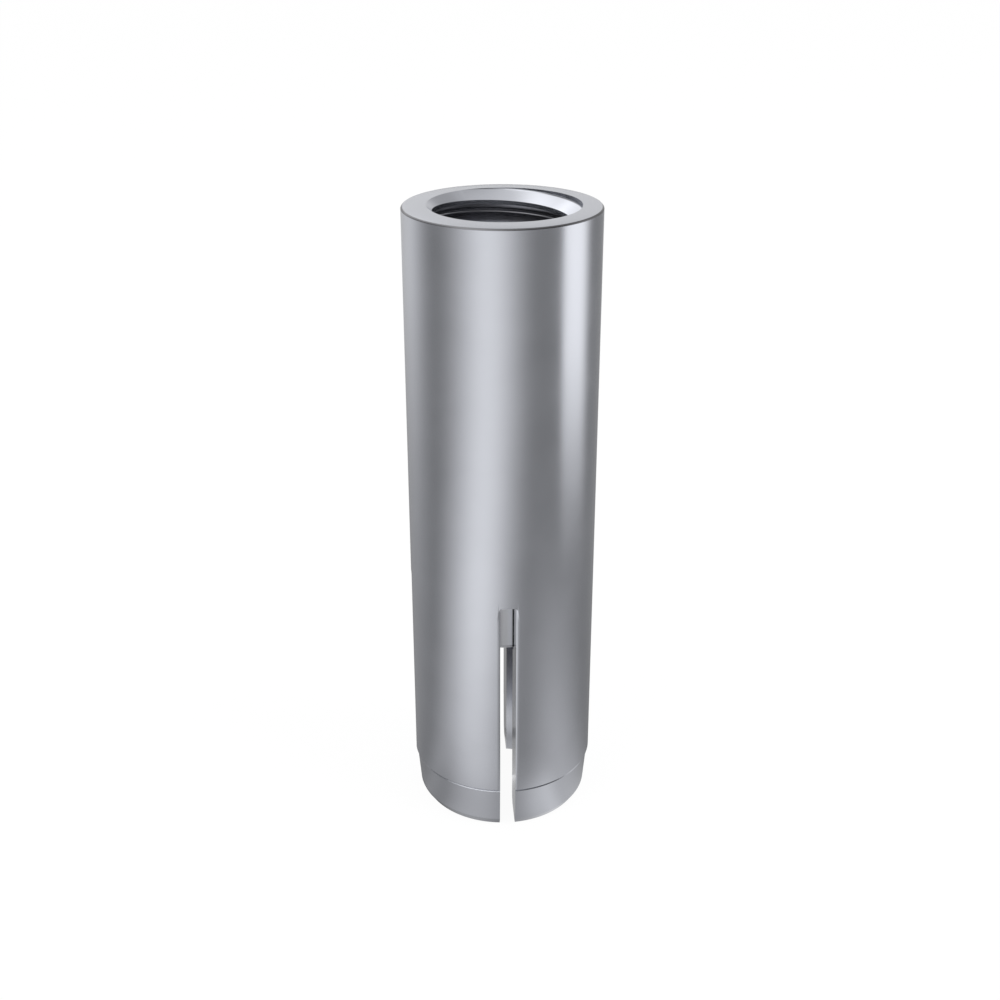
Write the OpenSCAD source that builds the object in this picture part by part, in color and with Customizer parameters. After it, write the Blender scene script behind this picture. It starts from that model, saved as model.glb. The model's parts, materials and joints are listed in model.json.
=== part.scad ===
// Drop-in anchor: a slotted sleeve with an internal thread, and the loose plug that spreads its legs.
// It stands on its slotted end. The axis is Z, the foot is at Z = 0 and the threaded mouth is at the top.
// All sizes are in millimetres.

/* [Sleeve] */
// Outside diameter of the sleeve
sleeve_d = 14.8; // [14.4:0.1:18]
// Overall length of the sleeve
sleeve_l = 50; // [46:1:80]
// Bevel round the outer edge of the mouth face
rim_bevel = 0.12; // [0.05:0.01:0.3]

/* [Nose] */
// Length of the tapered nose at the slotted end
nose_l = 3.8; // [2:0.1:6]
// Step in radius where the body ends and the nose begins
nose_step = 0.14; // [0.05:0.01:0.3]
// Radius lost along the nose, below the step
nose_taper = 0.26; // [0.1:0.01:0.8]
// Width of the bevel round the bottom edge of the nose
foot_bevel_w = 0.4; // [0.1:0.05:0.8]
// Height of the bevel round the bottom edge of the nose
foot_bevel_h = 0.6; // [0.2:0.05:1]

/* [Thread] */
// Nominal diameter of the internal thread
thread_d = 12; // [11.4:0.1:12.6]
// Pitch of the thread
thread_pitch = 1.75; // [1.25:0.05:2]
// Depth of the threaded bore below the mouth face
thread_depth = 22; // [15:0.5:24]
// Width of the countersink at the mouth, measured along the radius
countersink_w = 0.55; // [0.3:0.05:1.2]

/* [Expansion end] */
// Diameter of the chamber that holds the plug until the anchor is set
chamber_d = 8.8; // [8.2:0.1:9.8]
// Height of the chamber's lower end above the foot
chamber_z = 15.3; // [10:0.1:20]
// Diameter of the narrow bore that the plug is driven into
bore_d = 7.2; // [6:0.1:8]
// Bevel round the lower edge of the narrow bore
bore_bevel = 0.3; // [0.1:0.05:0.5]
// Point angle of the drills that leave the conical shoulders
drill_angle = 118; // [90:1:140]

/* [Slots] */
// Number of slots sawn up from the foot
slot_count = 4; // [2:1:6]
// Width of each slot
slot_w = 1.25; // [0.8:0.05:2]
// Height of the slots above the foot
slot_l = 20.6; // [10:0.1:24]
// Radius in the two upper corners of each slot
slot_corner_r = 0.25; // [0.1:0.05:0.35]
// Bevel along the outer edges of each slot
slot_bevel = 0.16; // [0.05:0.01:0.3]

/* [Plug] */
// Length of the expander plug
plug_l = 11; // [6:0.5:14]
// Radial clearance between the plug and its chamber
plug_gap = 0.1; // [0.02:0.01:0.3]
// Clearance under the plug, between its cone and the chamber's shoulder
seat_gap = 0.05; // [0.02:0.01:0.3]
// Radial clearance between the plug's flat tip and the narrow bore below it
tip_gap = 0.15; // [0.05:0.05:0.5]
// Bevel round the plug's upper edge
plug_bevel = 0.3; // [0.1:0.05:0.6]

/* [Hidden] */

// Radii of the sleeve, from the outside in; the hole is drilled at the thread's diameter less its pitch
sleeve_r = sleeve_d / 2;
nose_r = sleeve_r - nose_step;
tip_r = nose_r - nose_taper;
minor_r = (thread_d - thread_pitch) / 2;
mouth_r = minor_r + countersink_w;
chamber_r = chamber_d / 2;
bore_r = bore_d / 2;

// The thread's lower end, and the plug's radii and foot
thread_z = sleeve_l - thread_depth;
plug_r = chamber_r - plug_gap;
plug_tip_r = bore_r - tip_gap;
plug_z = chamber_z - cone_h(chamber_r, plug_tip_r) + seat_gap;

// Distance from the axis at which a slot's edge bevel begins, and how far every cutter overshoots
bevel_y = sqrt(pow(sleeve_r, 2) - pow(slot_w / 2, 2)) - slot_bevel;
overshoot = 1;
flare = slot_bevel + overshoot;

turned_faces = 180;
corner_faces = 48;

// Height of a drill point's cone between two radii
function cone_h(wide, narrow) = (wide - narrow) / tan(drill_angle / 2);

// The sleeve as it leaves the lathe, before it is slotted
module sleeve_turning() {
    rotate_extrude($fn = turned_faces)
        polygon([
            [bore_r, bore_bevel],
            [bore_r + bore_bevel, 0],
            [tip_r - foot_bevel_w, 0],
            [tip_r, foot_bevel_h],
            [nose_r, nose_l - nose_step],
            [sleeve_r, nose_l],
            [sleeve_r, sleeve_l - rim_bevel],
            [sleeve_r - rim_bevel, sleeve_l],
            [mouth_r, sleeve_l],
            [minor_r, sleeve_l - countersink_w],
            [minor_r, thread_z],
            [chamber_r, thread_z - cone_h(minor_r, chamber_r)],
            [chamber_r, chamber_z],
            [bore_r, chamber_z - cone_h(chamber_r, bore_r)]
        ]);
}

// One saw cut from the axis out along +Y, with rounded upper corners
module saw_cut() {
    corner_x = slot_w / 2 - slot_corner_r;
    corner_z = slot_l - slot_corner_r;
    reach = sleeve_r + overshoot;
    translate([-slot_w / 2, 0, -overshoot])
        cube([slot_w, reach, corner_z + overshoot]);
    translate([-corner_x, 0, -overshoot])
        cube([2 * corner_x, reach, slot_l + overshoot]);
    for (side = [-1, 1])
        translate([side * corner_x, 0, corner_z])
            rotate([-90, 0, 0])
                cylinder(r = slot_corner_r, h = reach, $fn = corner_faces);
}

// The 45 degree bevel round the outer edge of one saw cut
module edge_cut() {
    corner_x = slot_w / 2 - slot_corner_r;
    corner_z = slot_l - slot_corner_r;
    translate([0, 0, -overshoot])
        linear_extrude(corner_z + overshoot)
            polygon([
                [-slot_w / 2, bevel_y],
                [slot_w / 2, bevel_y],
                [slot_w / 2 + flare, bevel_y + flare],
                [-slot_w / 2 - flare, bevel_y + flare]
            ]);
    translate([corner_x, 0, 0])
        rotate([90, 0, -90])
            linear_extrude(2 * corner_x)
                polygon([
                    [-bevel_y, corner_z],
                    [-bevel_y, slot_l],
                    [-bevel_y - flare, slot_l + flare],
                    [-bevel_y - flare, corner_z]
                ]);
    for (side = [-1, 1])
        translate([side * corner_x, bevel_y, corner_z])
            rotate([-90, 0, 0])
                cylinder(r1 = slot_corner_r, r2 = slot_corner_r + flare, h = flare, $fn = corner_faces);
}

// The steel sleeve: turned, bored for the thread and slotted from the foot
module anchor_sleeve() {
    color("#b3b7be")
        difference() {
            sleeve_turning();
            for (slot = [0 : slot_count - 1])
                rotate(slot * 360 / slot_count) {
                    saw_cut();
                    edge_cut();
                }
        }
}

// The loose plug on the chamber's shoulder, which a punch drives down to spread the legs
module expander_plug() {
    color("#8f9297")
        rotate_extrude($fn = turned_faces)
            polygon([
                [0, plug_z],
                [plug_tip_r, plug_z],
                [plug_r, plug_z + cone_h(plug_r, plug_tip_r)],
                [plug_r, plug_z + plug_l - plug_bevel],
                [plug_r - plug_bevel, plug_z + plug_l],
                [0, plug_z + plug_l]
            ]);
}

anchor_sleeve();
expander_plug();
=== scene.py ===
import json
import math
from collections import namedtuple

import bmesh
import bpy
from bpy.props import FloatProperty, FloatVectorProperty, IntProperty, PointerProperty
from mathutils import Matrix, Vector


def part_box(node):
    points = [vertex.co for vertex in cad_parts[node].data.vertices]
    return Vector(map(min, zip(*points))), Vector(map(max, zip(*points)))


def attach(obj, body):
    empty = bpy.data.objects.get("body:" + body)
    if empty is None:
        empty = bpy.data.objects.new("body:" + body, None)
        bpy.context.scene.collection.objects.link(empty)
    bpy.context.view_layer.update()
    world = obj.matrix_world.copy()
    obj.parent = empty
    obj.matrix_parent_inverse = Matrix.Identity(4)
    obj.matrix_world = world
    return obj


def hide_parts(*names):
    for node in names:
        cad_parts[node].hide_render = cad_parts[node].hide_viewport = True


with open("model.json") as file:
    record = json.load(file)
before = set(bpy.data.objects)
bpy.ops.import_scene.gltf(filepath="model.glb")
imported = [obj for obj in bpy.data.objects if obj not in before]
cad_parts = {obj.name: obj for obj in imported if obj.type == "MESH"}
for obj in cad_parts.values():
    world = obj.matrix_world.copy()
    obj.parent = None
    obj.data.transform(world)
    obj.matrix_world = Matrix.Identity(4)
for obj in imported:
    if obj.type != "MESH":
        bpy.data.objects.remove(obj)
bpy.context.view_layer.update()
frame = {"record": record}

bl_info = {
    "name": "Drop-in Anchor",
    "version": (1, 0, 0),
    "blender": (4, 5, 0),
    "location": "View3D > Sidebar > Anchor",
    "description": "Models a slotted drop-in anchor with its thread and plug round a packed frame",
    "category": "Object",
}

MM = 0.001
SLEEVE_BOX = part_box("anchor_sleeve")
PLUG_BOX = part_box("expander_plug")
THREAD = next(m for m in frame["record"]["mounts"] if m["name"] == "thread")["dims"]

# Facets of a turned ring, steps of one turn of the thread, and segments of a slot's and a thread's corners
TURNED_FACETS = 256
TAP_STEPS = 120
SLOT_CORNER_STEPS = 8
TAP_CORNER_STEPS = 4

# How close a vertex lies to the ring or section that it belongs to
NEAR = 1e-6

# How far a saw reaches past the metal, and how far a tap reaches into the empty bore
SAW_OVERSHOOT = 1 * MM
TAP_OVERSHOOT = 0.18 * MM

# How much a slot's bevel rises over the slot's top, as a share of its width at the sides
SLOT_TOP_SHARE = 0.4

# Slope of the thread's lower flank in degrees
LOWER_FLANK = 38

# Heights of plain rings that split the long outside, so that it is shaded evenly round the slots
PLAIN_RINGS = (19.5 * MM, 21.5 * MM, 30 * MM, 40 * MM)

# Faces that meet at less than this angle are shaded as one
SMOOTH_ANGLE = math.radians(28)

# How far a turned edge is rounded, and in how many segments
Rounding = namedtuple("Rounding", "width segments")
FOOT_ROUNDING = Rounding(0.1 * MM, 3)
NOSE_ROUNDING = Rounding(0.06 * MM, 3)
RIM_ROUNDING = Rounding(0.03 * MM, 2)
CONE_ROUNDING = Rounding(0.25 * MM, 4)
PLUG_ROUNDING = Rounding(0.08 * MM, 3)

# A cutter for the thread. Its section has a flat root of some height at a radius, with rounded corners, and
# an upper flank that slopes by so many degrees. Lift is how far it starts above the groove's foot, and sweep
# is the angle in degrees of each of its turns.
Tap = namedtuple("Tap", "lift root_r root_w corner_r upper_flank turns sweep")


def length(name, description, default):
    """A size property in metres."""
    return FloatProperty(
        name=name, description=description, default=default, min=0.0, unit="LENGTH", precision=5
    )


def angle(name, description, default):
    """An angle property, with its default in degrees."""
    return FloatProperty(
        name=name, description=description, default=math.radians(default), subtype="ANGLE"
    )


def colour(name, description, default):
    """A colour property."""
    return FloatVectorProperty(
        name=name, description=description, default=default, size=3, subtype="COLOR", min=0.0, max=1.0
    )


class SleeveSettings(bpy.types.PropertyGroup):
    """Sizes and finish of the sleeve"""

    outside_r: length("Outside radius", "Radius of the plain outside", SLEEVE_BOX[1].x)
    height: length("Length", "Length from the foot to the mouth face", SLEEVE_BOX[1].z)
    rim_bevel: length("Rim bevel", "Bevel round the outer edge of the mouth face", 0.12 * MM)
    nose_l: length("Nose length", "Length of the tapered nose at the foot", 3.8 * MM)
    nose_step: length("Nose step", "Step in radius where the nose begins", 0.14 * MM)
    nose_groove: length("Nose groove", "Depth and height of the fine groove under the step", 0.1 * MM)
    nose_taper: length("Nose taper", "Radius lost along the nose", 0.26 * MM)
    foot_bevel_w: length("Foot bevel width", "Width of the bevel at the foot", 0.4 * MM)
    foot_bevel_h: length("Foot bevel height", "Height of the bevel at the foot", 0.6 * MM)
    core_r: length("Thread core radius", "Radius of the hole before it is tapped", THREAD["r_mm"] * MM)
    countersink_w: length("Countersink width", "Width of the countersink at the mouth", 0.3 * MM)
    thread_depth: length("Thread depth", "Depth of the tapped hole", 22 * MM)
    thread_pitch: length("Thread pitch", "Height of one turn of the thread", 1.75 * MM)
    thread_root_r: length("Thread root radius", "Radius at the bottom of the groove", 6.0 * MM)
    thread_root_w: length("Thread root width", "Height of the flat at the bottom of the groove", 0.25 * MM)
    thread_turns: IntProperty(
        name="Thread turns", description="Whole turns of the groove", default=12, min=1
    )
    thread_start: angle("Thread start", "Angle about the axis where the tap starts, above the mouth", 206.3)
    thread_rise: length("Thread rise", "Height above the mouth face at which the tap starts", 0.483 * MM)
    chamber_r: length("Chamber radius", "Radius of the chamber that holds the plug", 4.4 * MM)
    chamber_z: length("Chamber foot", "Height of the chamber's lower end", 15.3 * MM)
    bore_r: length("Bore radius", "Radius of the narrow bore at the foot", 3.6 * MM)
    bore_bevel: length("Bore bevel", "Bevel round the lower edge of the narrow bore", 0.45 * MM)
    drill_angle: angle("Drill angle", "Point angle of the drills that leave the shoulders", 118)
    slot_w: length("Slot width", "Width of each slot", 1.25 * MM)
    slot_l: length("Slot height", "Height of the slots above the foot", 20.6 * MM)
    slot_corner_r: length("Slot corner radius", "Radius in the upper corners of each slot", 0.14 * MM)
    slot_bevel_w: length("Slot bevel width", "Width of the bevel along each slot's outer edges", 0.11 * MM)
    slot_bevel_h: length("Slot bevel depth", "Depth of the bevel along each slot's outer edges", 0.04 * MM)
    zinc: colour("Zinc", "Colour of the plated steel", (0.625, 0.64, 0.69))


class PlugSettings(bpy.types.PropertyGroup):
    """Sizes and finish of the plug"""

    radius: length("Radius", "Radius of the plug", PLUG_BOX[1].x)
    foot_z: length("Foot", "Height of the plug's flat tip", PLUG_BOX[0].z)
    top_z: length("Top", "Height of the plug's upper face", PLUG_BOX[1].z)
    tip_r: length("Tip radius", "Radius of the plug's flat tip", 3.18 * MM)
    edge_bevel: length("Edge bevel", "Bevel round the plug's upper edge", 0.3 * MM)
    steel: colour("Steel", "Colour of the plain steel", (0.74, 0.75, 0.78))


class StageSettings(bpy.types.PropertyGroup):
    """Camera and floor"""

    camera_at: FloatVectorProperty(
        name="Camera place",
        description="Where the camera stands",
        default=(-0.00666, -0.10034, 0.07234),
        size=3,
        subtype="TRANSLATION",
    )
    camera_turn: FloatVectorProperty(
        name="Camera turn",
        description="How the camera is turned",
        default=(math.radians(65.48), 0.0, math.radians(-3.7)),
        size=3,
        subtype="EULER",
    )
    lens: FloatProperty(name="Lens", description="Focal length in millimetres", default=50.0, min=1.0)
    floor_r: length("Floor radius", "Radius of the floor", 3.0)
    floor: colour("Floor", "Colour of the floor", (0.9, 0.9, 0.9))


def select_place(piece, test):
    """Selects the vertices that pass the test, and the edges and faces between them."""
    bpy.ops.mesh.select_all(action="DESELECT")
    mesh = bmesh.from_edit_mesh(piece.data)
    for vert in mesh.verts:
        if test(vert.co):
            vert.select = True
    mesh.select_flush(True)
    bmesh.update_edit_mesh(piece.data)


def on_ring(radius, height):
    """A test for the vertices of one turned ring."""
    return lambda co: abs(co.z - height) < NEAR and abs(math.hypot(co.x, co.y) - radius) < NEAR


def turn_profile(name, profile, closed):
    """Turns a piece on the axis: a circle is extruded ring by ring through the profile's radii and heights.

    A closed profile comes back to its first ring. The ends of an open one are filled.
    """
    bpy.ops.object.select_all(action="DESELECT")
    radius, height = profile[0]
    bpy.ops.mesh.primitive_circle_add(vertices=TURNED_FACETS, radius=radius, enter_editmode=True)
    piece = bpy.context.object
    piece.name = piece.data.name = name
    bpy.ops.mesh.select_mode(type="VERT")
    bpy.ops.mesh.select_all(action="SELECT")
    bpy.ops.transform.translate(value=(0, 0, height))
    for next_radius, next_height in profile[1:]:
        bpy.ops.mesh.extrude_edges_move(TRANSFORM_OT_translate={"value": (0, 0, next_height - height)})
        scale = next_radius / radius
        bpy.ops.transform.resize(value=(scale, scale, 1), center_override=(0, 0, next_height))
        radius, height = next_radius, next_height
    first, last = on_ring(*profile[0]), on_ring(*profile[-1])
    if closed:
        select_place(piece, lambda co: first(co) or last(co))
        bpy.ops.mesh.bridge_edge_loops()
    else:
        for end in (first, last):
            select_place(piece, end)
            bpy.ops.mesh.edge_face_add()
    bpy.ops.mesh.select_all(action="SELECT")
    bpy.ops.mesh.normals_make_consistent(inside=False)
    return piece


def round_ring(piece, ring, rounding):
    """Rounds one turned edge."""
    select_place(piece, on_ring(*ring))
    bpy.ops.mesh.bevel(
        offset=rounding.width, segments=rounding.segments, affect="EDGES", clamp_overlap=True
    )


def leave_edit():
    """Goes back to object mode with nothing selected in the mesh."""
    bpy.ops.mesh.select_all(action="DESELECT")
    bpy.ops.object.mode_set(mode="OBJECT")


def cut(piece, cutter):
    """Cuts the cutter out of the piece."""
    bpy.ops.object.select_all(action="DESELECT")
    bpy.context.view_layer.objects.active = piece
    piece.select_set(True)
    bpy.ops.object.modifier_add(type="BOOLEAN")
    modifier = piece.modifiers[-1]
    modifier.operation = "DIFFERENCE"
    modifier.solver = "EXACT"
    modifier.object = cutter
    before = len(piece.data.polygons)
    bpy.ops.object.modifier_apply(modifier=modifier.name)
    if len(piece.data.polygons) == before:
        raise RuntimeError(f"{cutter.name} cut nothing from {piece.name}")


def remove(piece):
    """Removes a cutter and its mesh."""
    mesh = piece.data
    bpy.data.objects.remove(piece)
    bpy.data.meshes.remove(mesh)


def cone_height(wide, narrow, point_angle):
    """Height of a drill point's cone between two radii."""
    return (wide - narrow) / math.tan(point_angle / 2)


def add_section(saw, half_w, top, corner_r, place):
    """Adds one upright section of the saw at a place along Y, with rounded upper corners."""
    foot = -SAW_OVERSHOOT
    centre = (0, place, (top + foot) / 2)
    bpy.ops.mesh.select_all(action="DESELECT")
    bpy.ops.mesh.primitive_plane_add(size=1, location=centre, rotation=(math.pi / 2, 0, 0))
    bpy.ops.transform.resize(value=(2 * half_w, 1, top - foot), center_override=centre)
    select_place(saw, lambda co: abs(co.y - place) < NEAR and co.z > 0)
    bpy.ops.mesh.bevel(offset=corner_r, segments=SLOT_CORNER_STEPS, affect="VERTICES")


def make_saw(s):
    """Makes the saw that cuts two opposite slots, flared at both ends to bevel the slots' outer edges."""
    half_w = s.slot_w / 2
    outer_y = math.sqrt(s.outside_r ** 2 - (half_w + s.slot_bevel_w) ** 2)
    flare = [
        (outer_y + SAW_OVERSHOOT, s.slot_bevel_w),
        (outer_y, s.slot_bevel_w),
        (outer_y - s.slot_bevel_h, 0),
    ]
    sections = [(-y, extra) for y, extra in flare] + [(y, extra) for y, extra in reversed(flare)]
    places = [y for y, extra in sections]
    bpy.ops.object.select_all(action="DESELECT")
    bpy.ops.mesh.primitive_plane_add(size=1, enter_editmode=True)
    saw = bpy.context.object
    saw.name = "saw"
    bpy.ops.mesh.select_mode(type="VERT")
    bpy.ops.mesh.select_all(action="SELECT")
    bpy.ops.mesh.delete(type="VERT")
    for y, extra in sections:
        add_section(saw, half_w + extra, s.slot_l + SLOT_TOP_SHARE * extra, s.slot_corner_r + extra, y)
    bpy.ops.mesh.select_all(action="SELECT")
    bpy.ops.mesh.delete(type="ONLY_FACE")
    for near, far in zip(places, places[1:]):
        select_place(saw, lambda co: min(abs(co.y - near), abs(co.y - far)) < NEAR)
        bpy.ops.mesh.bridge_edge_loops()
    for end in (places[0], places[-1]):
        select_place(saw, lambda co: abs(co.y - end) < NEAR)
        bpy.ops.mesh.edge_face_add()
    bpy.ops.mesh.select_all(action="SELECT")
    bpy.ops.mesh.normals_make_consistent(inside=False)
    leave_edit()
    return saw


def make_tap(s, tap):
    """Makes a tap: its section, screwed down the axis from above the mouth."""
    inner_r = s.core_r - TAP_OVERSHOOT
    depth = tap.root_r - inner_r
    middle = (inner_r + tap.root_r) / 2
    lower_rise = depth * math.tan(math.radians(LOWER_FLANK))
    upper_rise = depth * math.tan(math.radians(tap.upper_flank))
    start_z = s.height + s.thread_rise + tap.lift + tap.root_w / 2
    bpy.ops.object.select_all(action="DESELECT")
    bpy.ops.mesh.primitive_plane_add(size=1, rotation=(math.pi / 2, 0, 0))
    cutter = bpy.context.object
    cutter.name = "tap"
    bpy.ops.object.transform_apply(location=True, rotation=True, scale=True)
    bpy.ops.object.mode_set(mode="EDIT")
    bpy.ops.mesh.select_mode(type="VERT")
    bpy.ops.mesh.select_all(action="SELECT")
    bpy.ops.transform.resize(value=(depth, 1, tap.root_w), center_override=(0, 0, 0))
    bpy.ops.transform.translate(value=(middle, 0, 0))
    for side, rise in ((-1, lower_rise), (1, upper_rise)):
        select_place(cutter, lambda co: co.x < middle and co.z * side > 0)
        bpy.ops.transform.translate(value=(0, 0, side * rise))
    select_place(cutter, lambda co: co.x > middle)
    bpy.ops.mesh.bevel(offset=tap.corner_r, segments=TAP_CORNER_STEPS, affect="VERTICES")
    bpy.ops.mesh.select_all(action="SELECT")
    bpy.ops.transform.translate(value=(0, 0, start_z))
    bpy.ops.mesh.delete(type="ONLY_FACE")
    leave_edit()
    bpy.ops.object.modifier_add(type="SCREW")
    screw = cutter.modifiers[-1]
    screw.axis = "Z"
    screw.angle = -math.radians(tap.sweep)
    screw.screw_offset = -s.thread_pitch * tap.sweep / 360
    screw.iterations = tap.turns
    screw.steps = screw.render_steps = round(TAP_STEPS * tap.sweep / 360)
    bpy.ops.object.modifier_apply(modifier=screw.name)
    cutter.rotation_euler.z = s.thread_start
    bpy.ops.object.transform_apply(location=True, rotation=True, scale=True)
    bpy.ops.object.mode_set(mode="EDIT")
    bpy.ops.mesh.select_all(action="SELECT")
    bpy.ops.mesh.fill_holes(sides=0)
    bpy.ops.mesh.select_all(action="SELECT")
    bpy.ops.mesh.normals_make_consistent(inside=False)
    leave_edit()
    return cutter


def smooth(piece):
    """Shades a finished piece smooth across its shallow edges."""
    bpy.ops.object.select_all(action="DESELECT")
    bpy.context.view_layer.objects.active = piece
    piece.select_set(True)
    bpy.ops.object.shade_smooth_by_angle(angle=SMOOTH_ANGLE)
    bpy.ops.object.modifier_add(type="WEIGHTED_NORMAL")
    modifier = piece.modifiers[-1]
    modifier.keep_sharp = True
    bpy.ops.object.modifier_apply(modifier=modifier.name)


# Nodes are laid out in rows, in the order in which they are made
NODES_PER_ROW = 8
NODE_ROW = 320
NODE_COLUMN = 220


def node(tree, kind, **values):
    """Adds a node with its settings."""
    row, column = divmod(len(tree.nodes), NODES_PER_ROW)
    made = tree.nodes.new(kind)
    made.location = (column * NODE_COLUMN, -row * NODE_ROW)
    for key, value in values.items():
        setattr(made, key, value)
    return made


def step(tree, value, edges, shares, interpolation="SMOOTHSTEP"):
    """A step from one share to another while the value goes from edge to edge, soft at both ends."""
    made = node(tree, "ShaderNodeMapRange", interpolation_type=interpolation)
    made.inputs["From Min"].default_value, made.inputs["From Max"].default_value = edges
    made.inputs["To Min"].default_value, made.inputs["To Max"].default_value = shares
    tree.links.new(value, made.inputs["Value"])
    return made.outputs["Result"]


def combine(tree, operation, first, second):
    """Joins two values, or a value and a number, by an operation."""
    made = node(tree, "ShaderNodeMath", operation=operation)
    for socket, value in zip(made.inputs, (first, second)):
        if isinstance(value, (int, float)):
            socket.default_value = value
        else:
            tree.links.new(value, socket)
    return made.outputs[0]


def noise(tree, where, scale, detail):
    """A cloud of values about one half."""
    made = node(tree, "ShaderNodeTexNoise")
    made.inputs["Scale"].default_value = scale
    made.inputs["Detail"].default_value = detail
    tree.links.new(where, made.inputs["Vector"])
    return made.outputs["Fac"]


def split(tree, vector):
    """The X, Y and Z of a vector."""
    made = node(tree, "ShaderNodeSeparateXYZ")
    tree.links.new(vector, made.inputs[0])
    return made.outputs


def new_material(name):
    """A material with its Principled shader, ready for nodes."""
    material = bpy.data.materials.new(name)
    material.use_nodes = True
    shader = material.node_tree.nodes["Principled BSDF"]
    return material, material.node_tree, shader


def darken(tree, tone, mask, dark_tone):
    """Lays a darker tone over a tone where the mask is 1."""
    mix = node(tree, "ShaderNodeMix", data_type="RGBA")
    mix.inputs["B"].default_value = (*dark_tone, 1)
    tree.links.new(mask, mix.inputs["Factor"])
    tree.links.new(tone, mix.inputs["A"])
    return mix.outputs["Result"]


def from_axis(tree, where):
    """Distance from the anchor's axis."""
    flat = node(tree, "ShaderNodeVectorMath", operation="MULTIPLY")
    flat.inputs[1].default_value = (1, 1, 0)
    out = node(tree, "ShaderNodeVectorMath", operation="LENGTH")
    tree.links.new(where, flat.inputs[0])
    tree.links.new(flat.outputs["Vector"], out.inputs[0])
    return out.outputs["Value"]


def from_slots(tree, where):
    """Distance from the nearer of the two planes through the slots."""
    size = node(tree, "ShaderNodeVectorMath", operation="ABSOLUTE")
    tree.links.new(where, size.inputs[0])
    sides = split(tree, size.outputs["Vector"])
    return combine(tree, "MINIMUM", sides["X"], sides["Y"])


# Tones of the painted shade in the bore, of the painted dark line of shade on the rim's bevel, and of the
# painted shade on the plug's side behind the legs
BORE_SHADE_TONE = (0.34, 0.34, 0.36)
RIM_SHADE_TONE = (0.2, 0.2, 0.21)
LEG_SHADE_TONE = (0.05, 0.05, 0.055)

# Share of the bore's painted shade that is laid on the crests of the thread, which stand out nearest the
# axis
CREST_SHADE_SHARE = 0.2

# How rough the sawn faces of the slots are against the turned faces
SAWN_ROUGHNESS = 0.6


def shade_behind_legs(tree, where, tone, s):
    """Darkens the plug's side behind the legs with painted shade, where the legs and the close chamber keep
    the light off it.
    """
    side = step(tree, from_axis(tree, where), (s.chamber_r - 0.3 * MM, s.chamber_r - 0.2 * MM), (0, 1))
    slot_edge = s.slot_w / 2
    behind = step(tree, from_slots(tree, where), (slot_edge - 0.115 * MM, slot_edge - 0.045 * MM), (0, 1))
    return darken(tree, tone, combine(tree, "MULTIPLY", side, behind), LEG_SHADE_TONE)


def bore_and_rim_shade(tree, where, tone, s):
    """Lays painted shade in the threaded bore and the narrow chamber, lighter on the thread's crests, and a
    painted dark line of shade on the rim's bevel.
    """
    radius, height = from_axis(tree, where), split(tree, where)["Z"]
    thread_z = s.height - s.thread_depth

    # Painted shade in the threaded bore, lighter on the crests
    inside = step(tree, radius, (s.thread_root_r + 0.05 * MM, s.thread_root_r + 0.2 * MM), (1, 0))
    below_mouth = step(tree, height, (s.height - 1.8 * MM, s.height - 1.1 * MM), (1, 0))
    above_foot = step(tree, height, (thread_z - 2 * MM, thread_z - 1 * MM), (0, 1))
    depth = combine(tree, "MULTIPLY", below_mouth, above_foot)
    crest = step(tree, radius, (s.core_r + 0.075 * MM, s.core_r + 0.325 * MM), (CREST_SHADE_SHARE, 1))
    threaded = combine(tree, "MULTIPLY", combine(tree, "MULTIPLY", inside, crest), depth)

    # Painted shade in the narrow chamber under the thread
    narrow = step(tree, radius, (s.chamber_r + 0.05 * MM, s.chamber_r + 0.2 * MM), (1, 0))
    raised = step(tree, height, (3 * MM, 10 * MM), (0, 1))
    lower = combine(tree, "MULTIPLY", narrow, raised)
    shaded_bore = darken(tree, tone, combine(tree, "MAXIMUM", threaded, lower), BORE_SHADE_TONE)

    # A painted dark line of shade on the rim's bevel
    corner = s.outside_r + s.height
    outwards = combine(tree, "ADD", radius, height)
    rim = step(tree, outwards, (corner - 0.155 * MM, corner - 0.12 * MM), (0, 1))
    return darken(tree, shaded_bore, rim, RIM_SHADE_TONE)


def sawn_polish(tree, where, s):
    """How rough the metal is against the turned faces: less on the slots' faces, which are smoother."""
    slot_edge = s.slot_w / 2
    near = step(tree, from_slots(tree, where), (slot_edge + 0.005 * MM, slot_edge + 0.035 * MM), (1, 0))
    low = step(tree, split(tree, where)["Z"], (s.slot_l, s.slot_l + 0.2 * MM), (1, 0))
    return step(tree, combine(tree, "MULTIPLY", near, low), (0, 1), (1, SAWN_ROUGHNESS))


# Size of the clouds in the metal's tone and shine, in clouds a metre, and how far they go either way
CLOUD_SCALE = 260.0
CLOUD_DETAIL = 5.0
CLOUD_RANGE = (0.3, 0.7)
DARKEST = 0.93
LIGHTEST = 1.05
UNEVEN_SHINE = 0.02

# Grains a metre, their depth, the stretch of their pattern, and how much stronger they are on the mouth face
GRAIN_SCALE = 9000.0
GRAIN_DETAIL = 2.0
GRAIN_DEPTH = 0.01 * MM
GRAIN_STRETCH = (0.6, 0.6, 1.0)
MOUTH_GRAIN = 8


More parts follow.
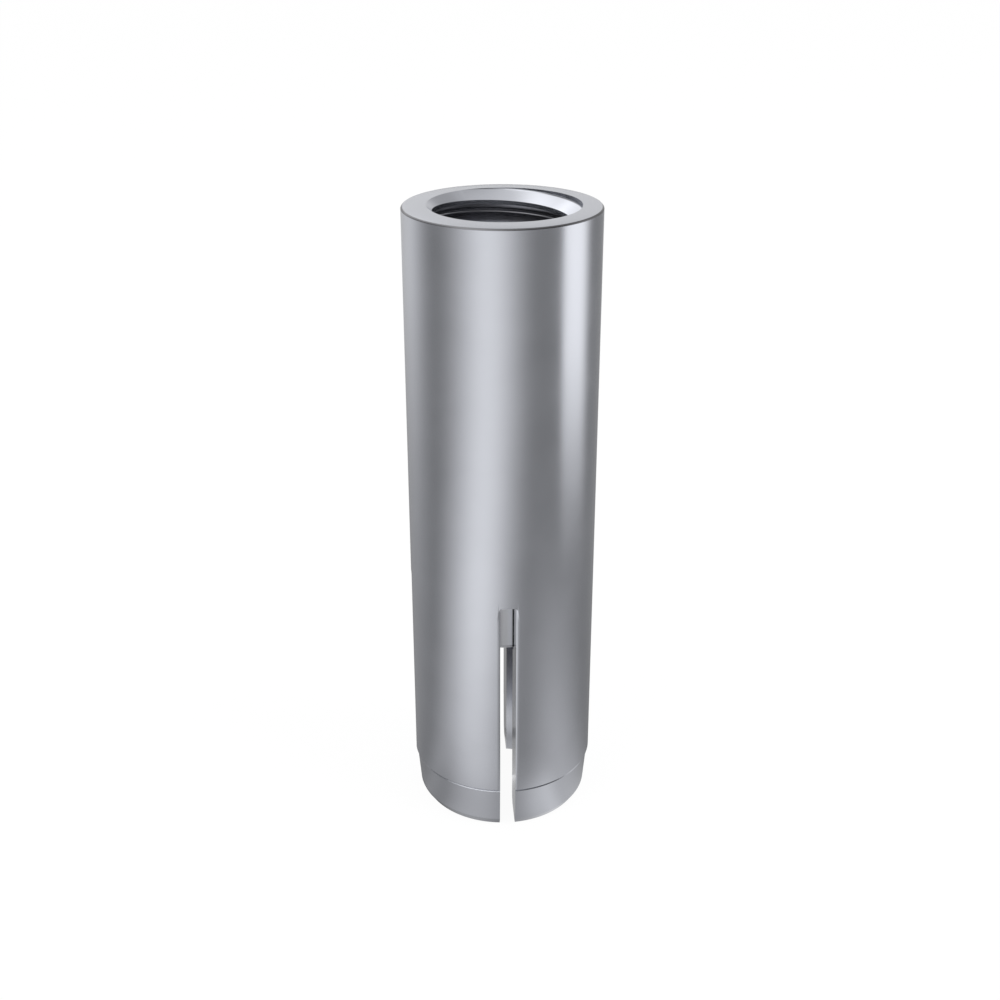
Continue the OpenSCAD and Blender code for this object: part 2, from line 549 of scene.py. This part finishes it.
def turned_metal(name, tone, roughness, grain, s, paint_shade, polish=None):
    """Steel off the lathe: a clouded tone and shine, a fine grain, the painted shade of its places, and the
    polish of its places.
    """
    material, tree, shader = new_material(name)
    links = tree.links
    shader.inputs["Metallic"].default_value = 1.0
    where = node(tree, "ShaderNodeTexCoord").outputs["Object"]

    cloud = noise(tree, where, CLOUD_SCALE, CLOUD_DETAIL)
    tint = node(tree, "ShaderNodeMix", data_type="RGBA")
    tint.inputs["A"].default_value = (*[DARKEST * c for c in tone], 1)
    tint.inputs["B"].default_value = (*[min(1.0, LIGHTEST * c) for c in tone], 1)
    links.new(cloud, tint.inputs["Factor"])
    # The places' painted shade is laid over the clouded tone
    links.new(paint_shade(tree, where, tint.outputs["Result"], s), shader.inputs["Base Color"])

    shares = (roughness - UNEVEN_SHINE, roughness + UNEVEN_SHINE)
    shine = step(tree, cloud, CLOUD_RANGE, shares, interpolation="LINEAR")
    if polish:
        shine = combine(tree, "MULTIPLY", shine, polish(tree, where, s))
    links.new(shine, shader.inputs["Roughness"])

    around = node(tree, "ShaderNodeMapping")
    around.inputs["Scale"].default_value = GRAIN_STRETCH
    links.new(where, around.inputs["Vector"])
    bump = node(tree, "ShaderNodeBump")
    bump.inputs["Distance"].default_value = GRAIN_DEPTH
    mouth_edges = (s.height - 0.1 * MM, s.height - 0.01 * MM)
    strength = step(tree, split(tree, where)["Z"], mouth_edges, (grain, MOUTH_GRAIN * grain))
    links.new(strength, bump.inputs["Strength"])
    links.new(noise(tree, around.outputs["Vector"], GRAIN_SCALE, GRAIN_DETAIL), bump.inputs["Height"])
    links.new(bump.outputs["Normal"], shader.inputs["Normal"])
    return material


class ANCHOR_OT_sleeve(bpy.types.Operator):
    """Model the sleeve: turned, slotted and tapped"""

    bl_idname = "anchor.sleeve"
    bl_label = "Model Sleeve"

    def execute(self, context):
        s = context.scene.anchor_sleeve
        nose_r = s.outside_r - s.nose_step
        tip_r = nose_r - s.nose_taper
        mouth_r = s.core_r + s.countersink_w
        thread_z = s.height - s.thread_depth
        rim = (s.outside_r - s.rim_bevel, s.height)
        shoulder = (s.outside_r, s.height - s.rim_bevel)
        nose_line = (s.outside_r, s.nose_l)
        groove_z = s.nose_l - s.nose_step
        foot = (tip_r, s.foot_bevel_h)
        profile = [
            (s.bore_r, s.bore_bevel),
            (s.bore_r + s.bore_bevel, 0),
            (tip_r - s.foot_bevel_w, 0),
            foot,
            (nose_r, groove_z - s.nose_groove),
            (nose_r - s.nose_groove, groove_z),
            nose_line,
            *[(s.outside_r, z) for z in PLAIN_RINGS],
            shoulder,
            rim,
            (mouth_r, s.height),
            (s.core_r, s.height - s.countersink_w),
            (s.core_r, thread_z),
            (s.chamber_r, thread_z - cone_height(s.core_r, s.chamber_r, s.drill_angle)),
            (s.chamber_r, s.chamber_z),
            (s.bore_r, s.chamber_z - cone_height(s.chamber_r, s.bore_r, s.drill_angle)),
        ]
        sleeve = turn_profile("sleeve", profile, closed=True)
        round_ring(sleeve, foot, FOOT_ROUNDING)
        round_ring(sleeve, nose_line, NOSE_ROUNDING)
        round_ring(sleeve, shoulder, RIM_ROUNDING)
        round_ring(sleeve, rim, RIM_ROUNDING)
        leave_edit()

        saw = make_saw(s)
        for quarter in (0, math.pi / 2):
            saw.rotation_euler.z = quarter
            context.view_layer.update()
            cut(sleeve, saw)
        remove(saw)

        thread = Tap(
            lift=0,
            root_r=s.thread_root_r,
            root_w=s.thread_root_w,
            corner_r=0.08 * MM,
            upper_flank=30,
            turns=s.thread_turns,
            sweep=360,
        )
        # Opens the first turn towards the mouth face, with faces that lie clear of the groove's.
        run_out = Tap(
            lift=0.1 * MM,
            root_r=s.thread_root_r - 0.03 * MM,
            root_w=0.35 * MM,
            corner_r=0.06 * MM,
            upper_flank=40,
            turns=1,
            sweep=305,
        )
        for tap in (thread, run_out):
            cutter = make_tap(s, tap)
            cut(sleeve, cutter)
            remove(cutter)
        smooth(sleeve)

        # Painted shade darkens the bore, the narrow chamber and the rim's bevel
        bright_zinc = turned_metal(
            "bright_zinc", s.zinc, roughness=0.25, grain=0.05, s=s, paint_shade=bore_and_rim_shade, polish=sawn_polish
        )
        sleeve.data.materials.clear()
        sleeve.data.materials.append(bright_zinc)
        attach(sleeve, "root")
        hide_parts("anchor_sleeve")
        return {"FINISHED"}


class ANCHOR_OT_plug(bpy.types.Operator):
    """Model the plug that rests on the chamber's shoulder"""

    bl_idname = "anchor.plug"
    bl_label = "Model Plug"

    def execute(self, context):
        p = context.scene.anchor_plug
        s = context.scene.anchor_sleeve
        cone = (p.radius, p.foot_z + cone_height(p.radius, p.tip_r, s.drill_angle))
        edge = (p.radius, p.top_z - p.edge_bevel)
        brow = (p.radius - p.edge_bevel, p.top_z)
        plug = turn_profile("plug", [(p.tip_r, p.foot_z), cone, edge, brow], closed=False)
        round_ring(plug, cone, CONE_ROUNDING)
        round_ring(plug, edge, PLUG_ROUNDING)
        round_ring(plug, brow, PLUG_ROUNDING)
        leave_edit()
        smooth(plug)

        # Painted shade darkens the plug's side behind the legs
        plain_steel = turned_metal(
            "plain_steel", p.steel, roughness=0.31, grain=0.2, s=s, paint_shade=shade_behind_legs
        )
        plug.data.materials.clear()
        plug.data.materials.append(plain_steel)
        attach(plug, "root")
        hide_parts("expander_plug")
        return {"FINISHED"}


# A soft panel on the card that the metal mirrors. Rise and fall are in degrees round the anchor:
# 0 is towards the camera and + is to the right. The panel starts between the two rise edges and ends between
# the two fall edges. Its level is multiplied along the floor from the near share at the near radius to the
# far share at the far radius. Lean is how far it is turned close to the anchor. A negative level darkens.
Panel = namedtuple("Panel", "use rise fall level near far near_share far_share lean")
FLOOR_PANELS = (
    Panel("broad light in front", (-80, 8), (-34, 42), 1.12, 0.0145, 0.045, 0.735, 1.0, -15),
    Panel("its darker foot", (-80, 8), (-34, 42), -0.26, 0.0105, 0.0145, 1.0, 0.0, -15),
    Panel("narrow light on the right", (69, 74), (99, 118), 1.1, 0.044, 0.14, 0.0, 1.0, 0),
    Panel("left edge", (-195, -125), (-126, -82), 0.516, 0.0, 0.2, 0.1, 1.0, 0),
    Panel("back, right half", (150, 178), (190, 200), 0.5, 0.0, 0.2, 0.1, 1.0, 0),
    Panel("back, left half", (-200, -190), (-178, -150), 0.44, 0.0, 0.2, 0.1, 1.0, 0),
    Panel("right edge", (124, 150), (170, 185), 0.05, 0.0, 0.2, 1.0, 1.0, 0),
    Panel("foot on the right", (12, 60), (58, 116), 0.36, 0.0, 0.07, 1.0, 0.0, 0),
    Panel("under the legs", (-200, -190), (190, 200), 0.18, 0.005, 0.0062, 1.0, 0.0, 0),
    Panel("under the left legs", (-170, -130), (-26, -2), 0.3, 0.0036, 0.0052, 1.0, 0.0, 0),
    Panel("nose on the left", (-200, -190), (-5, 12), -0.14, 0.007, 0.0075, 1.0, 0.0, 0),
    Panel("under the front slot", (-12, 2), (20, 45), -0.14, 0.005, 0.0065, 1.0, 0.0, 0),
    Panel("foot on the left", (-75, -50), (-50, -10), -0.2, 0.012, 0.022, 1.0, 0.0, 0),
    Panel("foot in front", (0, 30), (38, 58), 0.32, 0.011, 0.016, 1.0, 0.0, 0),
)
FLOOR_GREY = 0.25

# Radii between which a panel's lean is lost
LEAN_REACH = (0.01, 0.12)

# A round patch of the studio's dome: its bearing and height in degrees, and the angles from its
# middle up to which it is full and at which it ends. A negative level darkens.
Patch = namedtuple("Patch", "use bearing height inner outer level")
DOME_PATCHES = (
    Patch("run-out of the thread, low end", -150, 32, 8, 24, 0.85),
    Patch("run-out of the thread, high end", -124, 56, 8, 30, 0.72),
    Patch("mouth face", 178, 14, 6, 28, 0.32),
    Patch("mouth face from above", 180, 86, 14, 44, 0.35),
    Patch("nose line, front left", -38, 50, 10, 34, 0.9),
    Patch("nose line, front right", 55, 46, 12, 40, -0.35),
    Patch("nose line, right", 108, 20, 8, 28, 0.45),
    Patch("nose line, left", -90, 34, 8, 26, -0.3),
)
DOME_GREY = 0.45

# Shares of the dome's height between which the floor's panels give way to the patches
DOME_FOOT = (0.05, 0.18)

# The card and the dome that only reflections see, and the share of the floor's white that takes no shadow
CARD_R = 1.5
CARD_Z = 0.02 * MM
DOME_R = 1.4
DOME_SEGMENTS = 64
DOME_RINGS = 32
DISC_FACETS = 128
FLOOR_GLOW = 0.95

# Soft lights: where each stands and its power in watts
SOFTBOXES = {
    "softbox_left": ((-0.35, -0.3, 0.4), 1.0),
    "softbox_right": ((0.4, -0.2, 0.4), 1.5),
}
SOFTBOX_SIZE = 0.3
SOFTBOX_TARGET = (0, 0, 0.025)

SENSOR_WIDTH = 36.0
CLIP_START = 0.001


def bearing(tree, vector, turn):
    """The direction round the anchor in degrees, 0 towards the camera and + to the right."""
    aim = node(tree, "ShaderNodeMapping")
    aim.inputs["Rotation"].default_value = (0, 0, math.pi / 2 - turn)
    gradient = node(tree, "ShaderNodeTexGradient", gradient_type="RADIAL")
    tree.links.new(vector, aim.inputs["Vector"])
    tree.links.new(aim.outputs["Vector"], gradient.inputs["Vector"])
    turns = combine(tree, "SUBTRACT", gradient.outputs["Fac"], 0.5)
    return combine(tree, "MULTIPLY", turns, 360)


def seen_directly(tree):
    """1 for camera, glossy and transmission rays, 0 for the rays that carry light."""
    rays = node(tree, "ShaderNodeLightPath").outputs
    first = combine(tree, "MAXIMUM", rays["Is Camera Ray"], rays["Is Glossy Ray"])
    return combine(tree, "MAXIMUM", first, rays["Is Transmission Ray"])


def floor_material(tone):
    """A white floor that still takes the anchor's shadow."""
    material, tree, shader = new_material("white_floor")
    shader.inputs["Base Color"].default_value = (*tone, 1)
    shader.inputs["Roughness"].default_value = 0.9
    shader.inputs["Specular IOR Level"].default_value = 0.0
    glow = node(tree, "ShaderNodeEmission")
    glow.inputs["Strength"].default_value = 1.0
    mix = node(tree, "ShaderNodeMixShader")
    tree.links.new(combine(tree, "MULTIPLY", seen_directly(tree), FLOOR_GLOW), mix.inputs[0])
    tree.links.new(shader.outputs[0], mix.inputs[1])
    tree.links.new(glow.outputs[0], mix.inputs[2])
    tree.links.new(mix.outputs[0], tree.nodes["Material Output"].inputs["Surface"])
    return material


def panel_light(tree, vector, turn):
    """The level of the floor's panels in a direction and at a distance from the anchor."""
    around = bearing(tree, vector, turn)
    length_node = node(tree, "ShaderNodeVectorMath", operation="LENGTH")
    tree.links.new(vector, length_node.inputs[0])
    reach = length_node.outputs["Value"]
    total = FLOOR_GREY
    for panel in FLOOR_PANELS:
        turned = combine(tree, "SUBTRACT", around, step(tree, reach, LEAN_REACH, (panel.lean, 0)))
        rise = step(tree, turned, panel.rise, (0, 1))
        fall = step(tree, turned, panel.fall, (1, 0))
        shares = (panel.near_share * panel.level, panel.far_share * panel.level)
        level = step(tree, reach, (panel.near, panel.far), shares)
        lit = combine(tree, "MULTIPLY", combine(tree, "MULTIPLY", rise, fall), level)
        lit.node.label = panel.use
        total = combine(tree, "ADD", lit, total)
    return total


def patch_light(tree, direction, turn):
    """The level of the dome's patches in a direction."""
    total = DOME_GREY
    for patch in DOME_PATCHES:
        side, up = math.radians(patch.bearing) + turn, math.radians(patch.height)
        middle = (math.sin(side) * math.cos(up), -math.cos(side) * math.cos(up), math.sin(up))
        dot = node(tree, "ShaderNodeVectorMath", operation="DOT_PRODUCT")
        dot.inputs[1].default_value = middle
        tree.links.new(direction, dot.inputs[0])
        edges = [math.cos(math.radians(limit)) for limit in (patch.outer, patch.inner)]
        lit = step(tree, dot.outputs["Value"], edges, (0, patch.level))
        lit.node.label = patch.use
        total = combine(tree, "ADD", lit, total)
    return combine(tree, "MAXIMUM", total, 0)


def glowing(name):
    """A material that only glows, with the place on it and the socket for its strength."""
    material, tree, shader = new_material(name)
    tree.nodes.remove(shader)
    glow = node(tree, "ShaderNodeEmission")
    tree.links.new(glow.outputs[0], tree.nodes["Material Output"].inputs["Surface"])
    where = node(tree, "ShaderNodeTexCoord").outputs["Object"]
    return material, tree, where, glow.inputs["Strength"]


def card_material(turn):
    """The card on the floor that only the metal's reflections see."""
    material, tree, where, strength = glowing("reflection_card")
    tree.links.new(panel_light(tree, where, turn), strength)
    return material


def dome_material(turn):
    """The studio above the floor, which only reflections see: the panels' upper ends, then soft patches."""
    material, tree, where, strength = glowing("studio_dome")
    aim = node(tree, "ShaderNodeVectorMath", operation="NORMALIZE")
    tree.links.new(where, aim.inputs[0])
    direction = aim.outputs["Vector"]
    height = split(tree, direction)["Z"]
    low = step(tree, height, DOME_FOOT, (1, 0))
    high = step(tree, height, DOME_FOOT, (0, 1))
    foot = combine(tree, "MULTIPLY", panel_light(tree, where, turn), low)
    top = combine(tree, "MULTIPLY", patch_light(tree, direction, turn), high)
    tree.links.new(combine(tree, "ADD", foot, top), strength)
    return material


def add_disc(name, radius, height, material):
    """Adds a flat round sheet to the stage."""
    bpy.ops.object.select_all(action="DESELECT")
    bpy.ops.mesh.primitive_circle_add(
        vertices=DISC_FACETS, radius=radius, fill_type="NGON", location=(0, 0, height)
    )
    disc = bpy.context.object
    disc.name = name
    disc.data.materials.append(material)
    return disc


def add_dome(turn):
    """Adds the dome round the stage."""
    bpy.ops.object.select_all(action="DESELECT")
    bpy.ops.mesh.primitive_uv_sphere_add(segments=DOME_SEGMENTS, ring_count=DOME_RINGS, radius=DOME_R)
    dome = bpy.context.object
    dome.name = "studio_dome"
    dome.data.materials.append(dome_material(turn))
    return dome


def only_reflected(sheet):
    """Hides a part of the stage from all but reflections."""
    sheet.visible_camera = False
    sheet.visible_shadow = False
    sheet.visible_diffuse = False
    sheet.visible_transmission = False


def add_softbox(name, place, power):
    """Adds a square soft light that is aimed at the anchor."""
    bpy.ops.object.light_add(type="AREA", location=place)
    light = bpy.context.object
    light.name = name
    light.data.shape = "SQUARE"
    light.data.size = SOFTBOX_SIZE
    light.data.energy = power
    light.rotation_euler = (Vector(SOFTBOX_TARGET) - Vector(place)).to_track_quat("-Z", "Y").to_euler()
    light.visible_glossy = False


def add_world(scene):
    """Adds a plain white world."""
    world = bpy.data.worlds.new("white_studio")
    scene.world = world
    world.use_nodes = True
    sky = world.node_tree.nodes["Background"]
    sky.inputs["Color"].default_value = (1, 1, 1, 1)
    sky.inputs["Strength"].default_value = 1.0


class ANCHOR_OT_stage(bpy.types.Operator):
    """Add the floor, the lights, the studio's panels and the camera"""

    bl_idname = "anchor.stage"
    bl_label = "Set Stage"

    def execute(self, context):
        g = context.scene.anchor_stage
        turn = g.camera_turn[2]
        scene = context.scene
        add_disc("floor", g.floor_r, 0, floor_material(g.floor))
        only_reflected(add_disc("reflection_card", CARD_R, CARD_Z, card_material(turn)))
        only_reflected(add_dome(turn))
        for name, (place, power) in SOFTBOXES.items():
            add_softbox(name, place, power)
        add_world(scene)

        bpy.ops.object.camera_add(location=g.camera_at, rotation=g.camera_turn)
        camera = context.object
        camera.name = "camera"
        camera.data.lens = g.lens
        camera.data.sensor_width = SENSOR_WIDTH
        camera.data.clip_start = CLIP_START
        scene.camera = camera
        scene.view_settings.view_transform = "Standard"
        return {"FINISHED"}


class ANCHOR_PT_sidebar(bpy.types.Panel):
    """The anchor's pieces, in the sidebar"""

    bl_idname = "ANCHOR_PT_sidebar"
    bl_label = "Drop-in Anchor"
    bl_space_type = "VIEW_3D"
    bl_region_type = "UI"
    bl_category = "Anchor"

    def draw(self, context):
        scene = context.scene
        for operator, settings in (
            (ANCHOR_OT_sleeve, scene.anchor_sleeve),
            (ANCHOR_OT_plug, scene.anchor_plug),
            (ANCHOR_OT_stage, scene.anchor_stage),
        ):
            box = self.layout.box()
            box.operator(operator.bl_idname)
            for key in settings.__annotations__:
                box.prop(settings, key)


CLASSES = (
    SleeveSettings,
    PlugSettings,
    StageSettings,
    ANCHOR_OT_sleeve,
    ANCHOR_OT_plug,
    ANCHOR_OT_stage,
    ANCHOR_PT_sidebar,
)


def register():
    """Registers the classes and puts their settings on the scene."""
    for cls in CLASSES:
        bpy.utils.register_class(cls)
    bpy.types.Scene.anchor_sleeve = PointerProperty(type=SleeveSettings)
    bpy.types.Scene.anchor_plug = PointerProperty(type=PlugSettings)
    bpy.types.Scene.anchor_stage = PointerProperty(type=StageSettings)


def unregister():
    """Takes the settings and the classes away again."""
    del bpy.types.Scene.anchor_stage
    del bpy.types.Scene.anchor_plug
    del bpy.types.Scene.anchor_sleeve
    for cls in reversed(CLASSES):
        bpy.utils.unregister_class(cls)


def main():
    """Makes every piece and the stage."""
    register()
    bpy.ops.anchor.sleeve()
    bpy.ops.anchor.plug()
    bpy.ops.anchor.stage()


if __name__ == "__main__":
    main()
